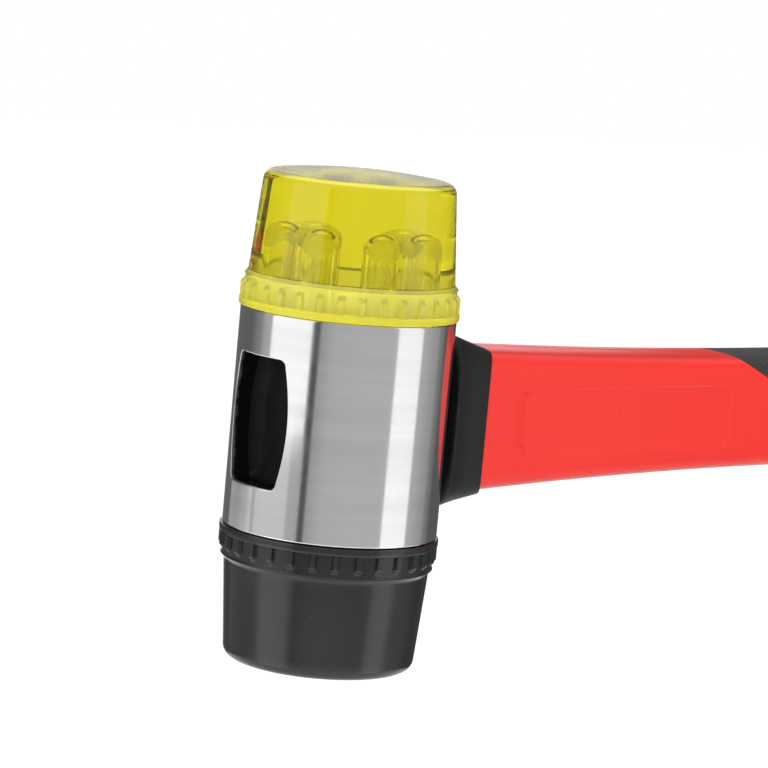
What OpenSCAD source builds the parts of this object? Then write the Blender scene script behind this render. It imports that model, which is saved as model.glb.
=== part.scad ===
// Soft face hammer: a steel head tube with two screw-in faces on a moulded two-colour handle.
// Z runs up the head, from the flat rubber face at the origin to the clear face.
// X runs from the head's axis to the butt of the handle.

/* [Head tube] */
// Outside diameter of the steel head tube
tube_d = 35; // [31:1:40]
// Length of the steel tube between the two faces
tube_len = 35.5; // [34:0.5:42]
// Wall thickness of the steel tube
tube_wall = 3.8; // [3.2:0.1:4.6]
// Bevel on the tube's end edges
tube_bevel = 0.3; // [0.1:0.1:0.6]
// Distance from the tube's end to the eye opening
eye_margin = 7.35; // [7.2:0.05:8]
// Width of the eye opening at half height
eye_w = 13.8; // [13:0.2:15]
// Width of the eye opening at its top and bottom
eye_end_w = 11.6; // [11.4:0.2:12.6]
// Rise of the eye opening's middle over the tube's middle
eye_rise = 0.35; // [0:0.05:0.4]

/* [Faces] */
// Height of each face from its seat to the level of its striking edge
face_h = 21.9; // [19:0.1:26]
// How far a face's flange stands out from the tube
flange_proud = 0.35; // [0.2:0.05:0.8]
// Thickness of the flange beside the tube
flange_t = 1.25; // [0.8:0.05:1.8]
// Length of the ribbed band below the flange
band_h = 3.75; // [3:0.05:5]
// Length of each rib
rib_len = 2.9; // [2:0.1:2.9]
// Width of each rib
rib_w = 1.05; // [0.8:0.05:1.6]
// Depth of the band between the ribs
rib_depth = 0.6; // [0.3:0.05:0.9]
// Number of ribs on the rubber face
rubber_ribs = 30; // [24:1:36]
// Number of ribs on the clear face
clear_ribs = 32; // [24:1:36]
// Length of the cove between the band and the cone
cove_h = 0.9; // [0.5:0.1:1.5]
// Narrowing of the radius over the cove
cove_step = 0.45; // [0.2:0.05:0.7]
// Diameter of the cone at the striking edge
strike_d = 31.2; // [28:0.2:32]
// Rounding of the striking edge
strike_r = 1.8; // [1:0.1:2.6]
// Rise of the clear face's dome
dome_h = 0.95; // [0.4:0.05:1.6]

/* [Screw spigots] */
// Length of each threaded spigot
spigot_len = 6.4; // [5:0.1:6.6]
// Pitch of the thread
thread_pitch = 2; // [1.5:0.25:2.5]
// Depth of the thread
thread_depth = 1.1; // [0.7:0.1:1.3]
// Radial clearance of the thread's crest in the tube
thread_gap = 0.08; // [0.05:0.01:0.1]
// Gap between a face's flange and the tube's end
seat_gap = 0.1; // [0.05:0.05:0.2]
// Number of cored pockets in each face
pocket_n = 6; // [4:1:6]
// Diameter of each pocket
pocket_d = 4.9; // [3:0.1:5.4]
// Diameter of the circle that the pockets stand on
pocket_ring_d = 15.8; // [14:0.2:17]
// Reach of the pockets past the seat
pocket_reach = 13.4; // [10:0.2:16]

/* [Handle core] */
// Height of the glass fibre core as a share of the eye opening's height
core_h_share = 0.7; // [0.64:0.01:0.72]
// Width of the glass fibre core as a share of its height
core_w_share = 0.7; // [0.6:0.01:0.72]
// Distance of the core's inner end past the head's axis
core_inset = 8.5; // [6:0.5:9.5]
// Distance from the core's outer end to the end of the butt
core_short = 28.5; // [26:0.5:80]
// Depth of the keying grooves round the core's inner end
key_depth = 0.8; // [0.4:0.1:1.2]
// Width of each keying groove
key_w = 2; // [1:0.25:2.5]
// Distance from the head's axis to the back of the resin
resin_back = 11; // [10:0.5:12]

/* [Handle] */
// Distance from the head's axis to the end of the butt
handle_len = 282.5; // [270:0.5:300]
// Distance from the head's axis to the handle's waist
waist_x = 100; // [96:1:110]
// Place of the fullest part of the grip between the waist and the butt
swell_share = 0.36; // [0.3:0.01:0.42]
// Place of the palm hollow between the waist and the butt
palm_share = 0.64; // [0.58:0.01:0.7]
// Distance from the hang hole's middle to the end of the butt
hang_inset = 14.5; // [13.5:0.5:16]
// Diameter of the hang hole
hang_d = 7; // [5:0.5:8]
// Height above the axis at the collar
neck_top = 12.05; // [11.6:0.05:13]
// Height above the axis at the waist
waist_top = 10.45; // [10.4:0.05:11.4]
// Height above the axis at the fullest part of the grip
swell_top = 13.2; // [12:0.1:15]
// Height above the axis at the palm hollow
palm_top = 12.6; // [11:0.1:14]
// Height above the axis at the butt
butt_top = 14.2; // [13:0.1:17]
// Depth below the axis at the collar
neck_low = 11.8; // [11.6:0.05:13]
// Depth below the axis at the waist
waist_low = 9.75; // [9.7:0.05:11]
// Depth below the axis at the fullest part of the grip
swell_low = 14.4; // [12:0.1:16]
// Depth below the axis at the palm hollow
palm_low = 13; // [11:0.1:15]
// Depth below the axis at the butt
butt_low = 17; // [14:0.1:19]
// Half of the handle's thickness from the neck to the waist
neck_t = 7.6; // [7.4:0.1:8.6]
// Half of the handle's thickness at the fullest part of the grip
swell_t = 10.6; // [9:0.1:12]
// Half of the handle's thickness at the palm hollow
palm_t = 9.8; // [9:0.1:12]
// Half of the handle's thickness at the butt
butt_t = 11.2; // [9.5:0.1:13]
// Crown of the handle's top and bottom
crown = 0.6; // [0.2:0.1:1]

/* [Collar, grip and panel] */
// Thickness of the moulded collar and grip
skin_t = 1.9; // [1.4:0.1:2]
// How far the collar's end stands out from the handle
collar_proud = 0.35; // [0.2:0.05:0.8]
// Flare of the collar from the handle to the tube
collar_flare = 3.1; // [1:0.1:4]
// Distance from the head's axis to the tip of the collar's rounded end
collar_tip = 27.6; // [26.5:0.1:30]
// Radius of the collar's rounded end, seen from above
collar_nose_r = 13.3; // [10:0.1:14]
// Hollow of the collar's sides where they face the tube
collar_hollow = 1.5; // [0.5:0.1:2]
// Distance from the head's axis to the start of the grip on the top edge
grip_start = 81.3; // [76:0.1:90]
// Length over which the grip's edge sweeps down the handle's side
grip_sweep = 58; // [45:1:70]
// Length of the sunken panel
panel_len = 47.7; // [30:0.1:50]
// Height of the sunken panel
panel_h = 10.2; // [6:0.2:14]
// Depth of the sunken panel
panel_depth = 0.2; // [0.1:0.1:0.6]
// Distance from the head's axis to the middle of the panel
panel_x = 57.3; // [55:0.1:58.5]

/* [Hidden] */
$fn = 96;

// Length by which a cut passes the surface that it opens
over = 1;
tube_r = tube_d / 2;
bore_r = tube_r - tube_wall;
seat_z = face_h;
tube_z = seat_z + seat_gap;
tube_top = tube_z + tube_len;
mid_z = tube_z + tube_len / 2;
eye_z = mid_z + eye_rise;
eye_h = tube_len - eye_margin * 2;
core_h = eye_h * core_h_share;
core_w = core_h * core_w_share;
core_reach = handle_len - core_short;

// Turn of the ribs and pockets about the head's axis, in degrees
rubber_rib_turn = -8.2;
clear_rib_turn = 1.8;
pocket_turn = 18;

// Point counts of the skins' cross-sections and of the thread's turns
section_n = 36;
thread_n = 40;
thread_rows_per_pitch = 6;

// Turns about the X axis so that an outline drawn in X and Y stands up in X and Z
module standing(depth) {
    rotate([90, 0, 0]) linear_extrude(depth, center = true) children();
}

// Outline of a rectangle with round corners
function round_rect(w, h, r, n = 6) = [
    for (q = [0:3], i = [0:n])
        let (sx = (q == 0 || q == 3) ? 1 : -1, sy = q < 2 ? 1 : -1, a = 90 * q + 90 * i / n)
            [sx * (w / 2 - r) + r * cos(a), sy * (h / 2 - r) + r * sin(a)]
];

// Outline of the eye: a rectangle whose two long sides bulge
eye_corner_r = eye_end_w / 10;
eye_bulge = (eye_w - eye_end_w) / 2;
eye_side_n = 12;
function eye_side(s) = [
    for (i = [0:eye_side_n])
        let (y = eye_h / 2 - eye_corner_r, t = 1 - 2 * i / eye_side_n)
            [s * (eye_end_w / 2 + eye_bulge * (1 - t * t)), -s * y * t]
];
function eye_corner(sx, sy, from) = [
    for (i = [1:4])
        let (a = from + 90 * i / 5)
            [sx * (eye_end_w / 2 - eye_corner_r) + eye_corner_r * cos(a),
             sy * (eye_h / 2 - eye_corner_r) + eye_corner_r * sin(a)]
];
eye_outline = concat(eye_side(1), eye_corner(1, 1, 0), [[eye_end_w / 2 - eye_corner_r, eye_h / 2]],
                     [[-eye_end_w / 2 + eye_corner_r, eye_h / 2]], eye_corner(-1, 1, 90),
                     eye_side(-1), eye_corner(-1, -1, 180),
                     [[-eye_end_w / 2 + eye_corner_r, -eye_h / 2]],
                     [[eye_end_w / 2 - eye_corner_r, -eye_h / 2]], eye_corner(1, -1, 270));

// Places and sizes along the handle
jacket_start = tube_r + collar_hollow / 2;
swell_x = waist_x + (handle_len - waist_x) * swell_share;
palm_x = waist_x + (handle_len - waist_x) * palm_share;
hang_x = handle_len - hang_inset;
swell_n_share = 2.5;
neck_n_share = 7;
function part_way(x, a, b) = min(1, max(0, (x - a) / (b - a)));
function ease(s) = s * s * (3 - 2 * s);
function waisted(x, neck, waist, swell, palm, butt) =
    x < waist_x ? waist + (neck - waist) * pow((waist_x - x) / (waist_x - collar_tip), 2)
    : x < swell_x ? waist + (swell - waist) * ease(part_way(x, waist_x, swell_x))
    : x < palm_x ? swell + (palm - swell) * ease(part_way(x, swell_x, palm_x))
    : palm + (butt - palm) * ease(part_way(x, palm_x, hang_x));
function top_z(x) = waisted(x, neck_top, waist_top, swell_top, palm_top, butt_top);
function low_z(x) = waisted(x, neck_low, waist_low, swell_low, palm_low, butt_low);
function half_t(x) = waisted(x, neck_t, neck_t, swell_t, palm_t, butt_t);
function squareness(x) = neck_n_share
    + (swell_n_share - neck_n_share) * ease(part_way(x, waist_x, swell_x));

// Shrink of the section over the rounded butt, from 1 to 0 at the tip
butt_round = butt_t;
butt_turn = 84;
function butt_share(x, end) = let (s = part_way(x, end - butt_round, end)) pow(1 - s * s, 0.5);
function signed_pow(v, p) = sign(v) * pow(abs(v), p);

// One cross-section of the handle, with its surface set in by inset
function section(x, inset, size_share = 1) = [
    for (i = [0:section_n - 1])
        let (a = 360 * (i + 0.5) / section_n,
             p = 2 / squareness(x),
             w = (half_t(x) - inset) * size_share,
             h = ((sin(a) > 0 ? top_z(x) : low_z(x)) - inset) * size_share,
             ys = signed_pow(cos(a), p),
             zs = signed_pow(sin(a), p))
            [x, w * ys, mid_z + zs * (h - crown * ys * ys)]
];

// A closed skin through a row of sections
module skin(sections) {
    n = len(sections[0]);
    m = len(sections);
    points = [for (s = sections, p = s) p];
    sides = [
        for (j = [0:m - 2], i = [0:n - 1])
            let (a = j * n + i, b = j * n + (i + 1) % n)
                each [[a, a + n, b], [b, a + n, b + n]]
    ];
    first = [for (i = [0:n - 1]) i];
    last = [for (i = [0:n - 1]) m * n - 1 - i];
    polyhedron(points, concat([first], sides, [last]), convexity = 6);
}

neck_steps = 8;
grip_steps = 14;
butt_steps = 6;
function between(a, b, n) = [for (i = [0:n - 1]) a + (b - a) * i / n];
function stations(start, end) = concat(between(start, waist_x, neck_steps),
    between(waist_x, end - butt_round, grip_steps),
    [for (i = [0:butt_steps - 1]) end - butt_round + butt_round * sin(butt_turn * i / (butt_steps - 1))]);
module handle_skin(start, end, inset) {
    skin([for (x = stations(start, end)) section(x, inset, butt_share(x, end))]);
}
module outer_skin() { handle_skin(collar_tip - collar_nose_r, handle_len, 0); }
module inner_skin() { handle_skin(jacket_start, handle_len - skin_t, skin_t); }

// The stretch of the handle that the collar covers, with a nose round in plan
module collar_zone() {
    nose_x = collar_tip - collar_nose_r;
    reach = neck_top + neck_low + collar_flare * 2;
    translate([nose_x, 0, mid_z]) cylinder(r = collar_nose_r, h = reach * 2, center = true);
    translate([0, -collar_nose_r, mid_z - reach]) cube([nose_x, collar_nose_r * 2, reach * 2]);
}

// The stretch of the handle that the grip covers, with an edge that sweeps down the sides
sweep_n = 12;
sweep_bend_share = 1.25;
function sweep_edge(s) = let (z = neck_top - (neck_top + neck_low) * s)
    [grip_start + grip_sweep * pow(s, sweep_bend_share), mid_z + z];
module grip_zone() {
    reach = handle_len + butt_t;
    side = neck_top * 2;
    edge = [for (i = [0:sweep_n]) sweep_edge(i / sweep_n)];
    standing(side * 2) polygon(concat([[grip_start, mid_z + side]], edge,
        [[grip_start + grip_sweep, mid_z - side], [reach, mid_z - side], [reach, mid_z + side]]));
}

// A glass fibre bar with round top and bottom, running along X
module core_bar(from, to, w, h) {
    r = w / 2;
    for (s = [-1, 1])
        translate([from, 0, mid_z + s * (h / 2 - r)]) rotate([0, 90, 0]) cylinder(r = r, h = to - from);
    translate([from, -r, mid_z - h / 2 + r]) cube([to - from, w, h - w]);
}

module hang_hole() {
    translate([hang_x, 0, mid_z]) rotate([90, 0, 0])
        cylinder(d = hang_d, h = (butt_t + over) * 2, center = true);
}

// Profile of a face from its flange to its striking surface, as radius and height over the seat
flange_r = tube_r + flange_proud;
rib_r = flange_r - flange_proud / 4;
band_r = rib_r - rib_depth;
band_end = flange_t + band_h;
cone_start = band_end + cove_h;
cone_r = band_r - cove_step;
strike_rim_r = strike_d / 2;
flange_bevel = flange_t / 6;
arc_n = 8;
cone_lean = atan2(cone_r - strike_rim_r, face_h - strike_r - cone_start);
function strike_arc(h) = [
    for (i = [0:arc_n])
        let (a = cone_lean + (90 - cone_lean) * i / arc_n)
            [strike_rim_r - strike_r * cos(cone_lean) + strike_r * cos(a), h - strike_r + strike_r * sin(a)]
];
function dome_arc(h, rise) = let (w = strike_rim_r - strike_r * cos(cone_lean))
    [for (i = [1:arc_n]) let (s = 1 - i / arc_n) [w * s, h + rise * (1 - s * s)]];
function face_profile(rise) = concat(
    [[0, 0], [flange_r - flange_bevel, 0], [flange_r, flange_bevel], [flange_r, flange_t - flange_bevel],
     [flange_r - flange_bevel, flange_t], [band_r, flange_t], [band_r, band_end - cove_h / 4],
     [band_r + rib_depth / 4, band_end], [cone_r, cone_start]],
    strike_arc(face_h), rise > 0 ? dome_arc(face_h, rise) : [[0, face_h]]);

// One rib, leaning back into the band towards its end
module rib() {
    rib_end = flange_t + rib_len;
    translate([band_r - rib_depth, 0, 0]) rotate([90, 0, 0]) linear_extrude(rib_w, center = true)
        polygon([[0, flange_t / 2], [rib_depth * 2, flange_t / 2], [rib_depth * 2, rib_end - rib_depth],
                 [rib_depth * 1.5, rib_end], [0, rib_end]]);
}

// A threaded spigot: a cylinder whose surface rises and falls along a helix
spigot_r = bore_r - thread_gap;
root_r = spigot_r - thread_depth;
flank_share = 2.4;
root_flat_share = 0.1;
function tooth(s) = let (t = s - floor(s), rise = min(t, 1 - t))
    min(1, max(0, flank_share * rise - root_flat_share));
function fade(z) = min(1, z / thread_pitch * 2);
function thread_r(a, z) = root_r
    + thread_depth * tooth(z / thread_pitch - a / 360) * fade(z) * fade(spigot_len - z);
module thread() {
    rows = ceil(spigot_len / thread_pitch * thread_rows_per_pitch);
    rings = [
        for (j = [0:rows])
            let (z = spigot_len * j / rows)
                [for (i = [0:thread_n - 1])
                    let (a = 360 * i / thread_n, r = thread_r(a, z)) [r * cos(a), r * sin(a), z - spigot_len]]
    ];
    skin(rings);
}

// A whole face standing on its seat, with its spigot below
module face(ribs, rib_turn, pocket_from, rise) {
    difference() {
        union() {
            rotate_extrude() polygon(face_profile(rise));
            for (i = [0:ribs - 1]) rotate(rib_turn + 360 * i / ribs) rib();
            thread();
        }
        for (i = [0:pocket_n - 1])
            rotate(pocket_from + 360 * i / pocket_n) translate([pocket_ring_d / 2, 0, 0]) {
                translate([0, 0, -spigot_len - over])
                    cylinder(d = pocket_d, h = spigot_len + over + pocket_reach - pocket_d / 2);
                translate([0, 0, pocket_reach - pocket_d / 2]) sphere(d = pocket_d);
            }
    }
}

module head_tube() {
    color("silver") difference() {
        translate([0, 0, tube_z]) rotate_extrude() polygon([
            [bore_r + tube_bevel, 0], [tube_r - tube_bevel, 0], [tube_r, tube_bevel],
            [tube_r, tube_len - tube_bevel], [tube_r - tube_bevel, tube_len],
            [bore_r + tube_bevel, tube_len], [bore_r, tube_len - tube_bevel], [bore_r, tube_bevel]]);
        translate([0, 0, eye_z]) rotate([90, 0, 90]) linear_extrude(tube_d + over * 2, center = true)
            polygon(eye_outline);
    }
}

module clear_face() {
    color([0.9, 0.86, 0.1, 0.7]) translate([0, 0, tube_top + seat_gap])
        face(clear_ribs, clear_rib_turn, pocket_turn, dome_h);
}

module rubber_face() {
    color([0.16, 0.16, 0.17]) translate([0, 0, seat_z]) rotate([180, 0, 0])
        face(rubber_ribs, rubber_rib_turn, -pocket_turn, 0);
}

// Resin that fills the tube round the core, between the two spigots
module eye_resin() {
    color([0.05, 0.05, 0.06]) difference() {
        intersection() {
            union() {
                translate([0, 0, eye_z]) cylinder(r = bore_r, h = eye_h, center = true);
                translate([0, 0, eye_z]) rotate([90, 0, 90])
                    linear_extrude(jacket_start) polygon(eye_outline);
            }
            translate([-resin_back, -tube_r, mid_z - tube_len / 2])
                cube([resin_back + tube_r - tube_wall / 4, tube_d, tube_len]);
        }
        keyed_core();
    }
}

key_first_share = 1.5;
key_step_share = 2.5;
function key_at(i) = key_w * (key_first_share + i * key_step_share) - core_inset;
module keyed_core() {
    difference() {
        core_bar(-core_inset, core_reach, core_w, core_h);
        for (i = [0:2], s = [-1, 1])
            translate([key_at(i), 0, mid_z + s * core_h / 2])
                cube([key_w, core_w + over, key_depth * 2], center = true);
    }
}

module handle_core() {
    color([0.78, 0.74, 0.6]) keyed_core();
}

module panel_cut(side) {
    translate([panel_x, side * neck_t, mid_z + panel_h / 24])
        standing(panel_depth * 2) polygon(round_rect(panel_len, panel_h, panel_h / 8));
}

module handle_jacket() {
    color([0.95, 0.2, 0.17]) difference() {
        union() {
            inner_skin();
            difference() {
                outer_skin();
                collar_zone();
                grip_zone();
            }
        }
        core_bar(jacket_start - over, core_reach, core_w, core_h);
        for (side = [-1, 1]) panel_cut(side);
        hang_hole();
    }
}

// Collar round the neck: it flares towards the tube and is saddled to fit it
collar_start = tube_r - collar_hollow * 2;
collar_lip = skin_t;
collar_steps = 7;
function collar_grow(x) = collar_proud + collar_flare * part_way(x, collar_tip - collar_lip, collar_start);
module neck_collar() {
    saddle_r = pow(neck_top, 2) / collar_hollow / 2 + collar_hollow / 2;
    color([0.17, 0.17, 0.18]) difference() {
        intersection() {
            skin([for (i = [0:collar_steps])
                let (x = collar_start + (collar_tip + over - collar_start) * i / collar_steps)
                    [for (p = section(collar_tip, -collar_grow(x))) [x, p.y, p.z]]]);
            collar_zone();
        }
        inner_skin();
        core_bar(0, collar_tip, core_w, core_h);
        translate([0, 0, mid_z]) cylinder(r = tube_r + seat_gap / 2, h = tube_len * 2, center = true);
        translate([tube_r - saddle_r, 0, mid_z]) rotate([90, 0, 0])
            cylinder(r = saddle_r, h = tube_d, center = true);
    }
}

module grip_sleeve() {
    color([0.15, 0.15, 0.16]) difference() {
        intersection() {
            outer_skin();
            grip_zone();
        }
        inner_skin();
        hang_hole();
    }
}

head_tube();
clear_face();
rubber_face();
eye_resin();
handle_core();
handle_jacket();
neck_collar();
grip_sleeve();
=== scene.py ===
from math import acos, asin, atan2, copysign, cos, exp, hypot, pi, radians, sin, sqrt

import bmesh
import bpy
from mathutils import Matrix, Vector


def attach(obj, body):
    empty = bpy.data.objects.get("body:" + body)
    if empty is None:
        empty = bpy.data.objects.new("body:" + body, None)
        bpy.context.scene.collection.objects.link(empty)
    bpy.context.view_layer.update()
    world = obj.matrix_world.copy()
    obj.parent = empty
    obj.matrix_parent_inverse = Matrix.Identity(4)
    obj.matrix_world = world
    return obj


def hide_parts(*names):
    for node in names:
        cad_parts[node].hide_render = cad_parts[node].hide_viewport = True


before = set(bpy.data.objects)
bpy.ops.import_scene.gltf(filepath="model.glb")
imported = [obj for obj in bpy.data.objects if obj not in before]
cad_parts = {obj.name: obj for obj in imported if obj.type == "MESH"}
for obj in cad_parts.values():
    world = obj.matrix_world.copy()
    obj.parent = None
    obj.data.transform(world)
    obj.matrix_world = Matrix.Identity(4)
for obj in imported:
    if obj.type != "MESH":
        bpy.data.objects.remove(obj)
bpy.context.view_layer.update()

mm = 0.001
tiny = 1e-6                  # mm, lengths that differ by less count as equal
midZ = 39.75                 # mm, height of the handle's axis and of the tube's middle
scene = bpy.context.scene
print("frame loaded:", len(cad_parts), "nodes")


def addObject(name, data):
    thing = bpy.data.objects.new(name, data)
    scene.collection.objects.link(thing)
    return thing


def mix(a, b, share):
    return a + (b - a) * share


def clamp(share):
    return min(1.0, max(0.0, share))


def ease(share):
    s = clamp(share)
    return s * s * (3 - 2 * s)


def partWay(x, a, b):
    return clamp((x - a) / (b - a))


def spread(a, b, n):
    return [mix(a, b, i / n) for i in range(n + 1)]


# The cosine and sine of even steps round a circle.
def circle(count):
    return [(cos(a), sin(a)) for a in spread(0, 2 * pi, count)[:-1]]


# The camera stands where the photograph was taken from, as seen along the handle's own axes.
photoCamera = {
    "framePixels": 768,
    "focalPixels": 3400,
    "distance": 543.6,       # mm from the head's axis
    "height": 81.5,          # mm over the middle of the head tube
    "yaw": 0.0124,
    "pitch": -0.1371,
    "roll": 0.092,
    "handleTurn": 39,        # degrees that the handle points away from the picture plane
    "sensor": 36,
    "clip": (0.01, 50),
}


def makeCamera(p):
    yaw, pitch, roll = p["yaw"], p["pitch"], p["roll"]
    forward = Vector((sin(yaw) * cos(pitch), cos(yaw) * cos(pitch), sin(pitch)))
    right = Vector((cos(yaw), -sin(yaw), 0))
    up = right.cross(forward)
    rolledRight = cos(roll) * right + sin(roll) * up
    rolledUp = cos(roll) * up - sin(roll) * right
    turn = Matrix.Rotation(-radians(p["handleTurn"]), 3, "Z")
    axes = Matrix([turn @ v for v in (rolledRight, rolledUp, -forward)]).transposed()
    place = turn @ Vector((0, -p["distance"], midZ + p["height"]))
    data = bpy.data.cameras.new("photoCamera")
    data.sensor_width = p["sensor"]
    data.lens = p["focalPixels"] / p["framePixels"] * p["sensor"]
    data.clip_start, data.clip_end = p["clip"]
    scene.camera = addObject("photoCamera", data)
    scene.camera.matrix_world = Matrix.Translation(place * mm) @ axes.to_4x4()


makeCamera(photoCamera)
print("camera placed")


# Node helpers. An input takes a plain value, or a link from the output that it is given.
def feed(tree, socket, value):
    if isinstance(value, bpy.types.NodeSocket):
        tree.links.new(value, socket)
    else:
        socket.default_value = (*value, 1.0) if socket.type == "RGBA" else value


def addNode(tree, kind, inputs=None, **settings):
    node = tree.nodes.new("ShaderNode" + kind)
    for key, value in settings.items():
        setattr(node, key, value)
    for key, value in (inputs or {}).items():
        feed(tree, node.inputs[key], value)
    return node


def mathNode(tree, operation, *values, limited=False):
    return addNode(tree, "Math", dict(enumerate(values)), operation=operation, use_clamp=limited).outputs[0]


# Adds values to a base, each multiplied by its share.
def addShares(tree, base, *terms):
    for value, share in terms:
        base = mathNode(tree, "ADD", base, mathNode(tree, "MULTIPLY", value, share))
    return base


def rangeNode(tree, value, low, high, toLow=0.0):
    inputs = {"Value": value, "From Min": low, "From Max": high, "To Min": toLow}
    return addNode(tree, "MapRange", inputs, interpolation_type="SMOOTHSTEP").outputs["Result"]


def noiseNode(tree, place, scale, detail=3.0, roughness=0.5):
    inputs = {"Vector": place, "Scale": scale, "Detail": detail, "Roughness": roughness}
    return addNode(tree, "TexNoise", inputs).outputs["Fac"]


def mixColour(tree, factor, a, b):
    return addNode(tree, "Mix", {0: factor, 6: a, 7: b}, data_type="RGBA").outputs[2]


def scaledPlace(tree, place, scale):
    return addNode(tree, "VectorMath", {0: place, 1: scale}, operation="MULTIPLY").outputs[0]


def splitPlace(tree, place):
    return addNode(tree, "SeparateXYZ", {0: place}).outputs


# Distance from the head's axis, and height, of a place on the head.
def axisPlace(tree, place):
    split = splitPlace(tree, place)
    squares = [mathNode(tree, "MULTIPLY", split[axis], split[axis]) for axis in ("X", "Y")]
    return mathNode(tree, "SQRT", mathNode(tree, "ADD", *squares)), split["Z"]


# Shared material effects. Each is built once and placed in the materials that use it.
def newGroup(name, numbers, outputs):
    group = bpy.data.node_groups.new(name, "ShaderNodeTree")
    group.interface.new_socket("Place", in_out="INPUT", socket_type="NodeSocketVector")
    for label, value in numbers.items():
        socket = group.interface.new_socket(label, in_out="INPUT", socket_type="NodeSocketFloat")
        socket.default_value = value
    for label in outputs:
        group.interface.new_socket(label, in_out="OUTPUT", socket_type="NodeSocketFloat")
    return group, group.nodes.new("NodeGroupInput").outputs, group.nodes.new("NodeGroupOutput").inputs


# Fine surface of a moulded part: tiny pits over a slow wander left by the mould.
def makeMouldGrain():
    numbers = {"Grain Size": 4000.0, "Wander Size": 90.0, "Wander": 0.5}
    group, into, out = newGroup("mouldGrain", numbers, ["Height", "Mask"])
    fine = noiseNode(group, into["Place"], into["Grain Size"], 2.0, 0.6)
    slow = noiseNode(group, into["Place"], into["Wander Size"], 2.0, 0.4)
    feed(group, out["Height"], addShares(group, fine, (slow, into["Wander"])))
    feed(group, out["Mask"], rangeNode(group, slow, 0.3, 0.7))
    return group


# Fine lines ground round a turned part, over broader ones.
def makeTurnedLines():
    group, into, out = newGroup("turnedLines", {"Line Size": 1.0}, ["Height", "Mask"])
    finePlace = scaledPlace(group, into["Place"], (25, 25, 5200))
    broadPlace = scaledPlace(group, into["Place"], (30, 30, 420))
    fine = noiseNode(group, finePlace, into["Line Size"], 4.0, 0.7)
    broad = noiseNode(group, broadPlace, into["Line Size"], 2.0, 0.5)
    feed(group, out["Height"], addShares(group, fine, (broad, 0.6)))
    feed(group, out["Mask"], rangeNode(group, broad, 0.3, 0.7))
    return group


# Where edges stand out they are rubbed paler or brighter, broken up by noise.
def makeEdgeWear():
    group, into, out = newGroup("edgeWear", {"Break Up Size": 600.0, "Amount": 0.5}, ["Mask"])
    edge = rangeNode(group, addNode(group, "NewGeometry").outputs["Pointiness"], 0.53, 0.62)
    broken = rangeNode(group, noiseNode(group, into["Place"], into["Break Up Size"], 4.0, 0.6), 0.35, 0.7)
    worn = mathNode(group, "MULTIPLY", edge, broken)
    feed(group, out["Mask"], mathNode(group, "MULTIPLY", worn, into["Amount"], limited=True))
    return group


# A thin uneven film of dust and handling marks that lies more on faces that look up.
def makeDustFilm():
    group, into, out = newGroup("dustFilm", {"Speck Size": 1500.0, "Amount": 0.1}, ["Mask"])
    normal = addNode(group, "NewGeometry").outputs["Normal"]
    upward = rangeNode(group, splitPlace(group, normal)["Z"], -0.4, 1.0, toLow=0.35)
    specks = rangeNode(group, noiseNode(group, into["Place"], into["Speck Size"], 3.0, 0.7), 0.5, 0.75)
    patches = rangeNode(group, noiseNode(group, into["Place"], 70.0, 2.0), 0.35, 0.7, toLow=0.3)
    film = mathNode(group, "MULTIPLY", mathNode(group, "MULTIPLY", specks, patches), upward)
    feed(group, out["Mask"], mathNode(group, "MULTIPLY", film, into["Amount"], limited=True))
    return group


effects = {"grain": makeMouldGrain(), "lines": makeTurnedLines(), "wear": makeEdgeWear(),
           "dust": makeDustFilm()}
print("effects built:", len(effects))


# Places an effect. Its inputs are given in the group's own order, the place first.
def useEffect(tree, name, *inputs):
    return addNode(tree, "Group", dict(enumerate(inputs)), node_tree=effects[name]).outputs


finishes = {}


# Builds a finish. Its recipe gives the shader's inputs and the height of its relief.
def addFinish(name, recipe, look):
    finishes[name] = bpy.data.materials.new(name)
    finishes[name].use_nodes = True
    tree = finishes[name].node_tree
    inputs, height = recipe(tree, addNode(tree, "TexCoord").outputs["Object"], look)
    strength, depth = look["relief"]
    bump = addNode(tree, "Bump", {"Height": height, "Strength": strength, "Distance": depth})
    inputs.update({"Normal": bump.outputs["Normal"], "IOR": look["ior"]})
    for key, value in inputs.items():
        feed(tree, tree.nodes["Principled BSDF"].inputs[key], value)


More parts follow.
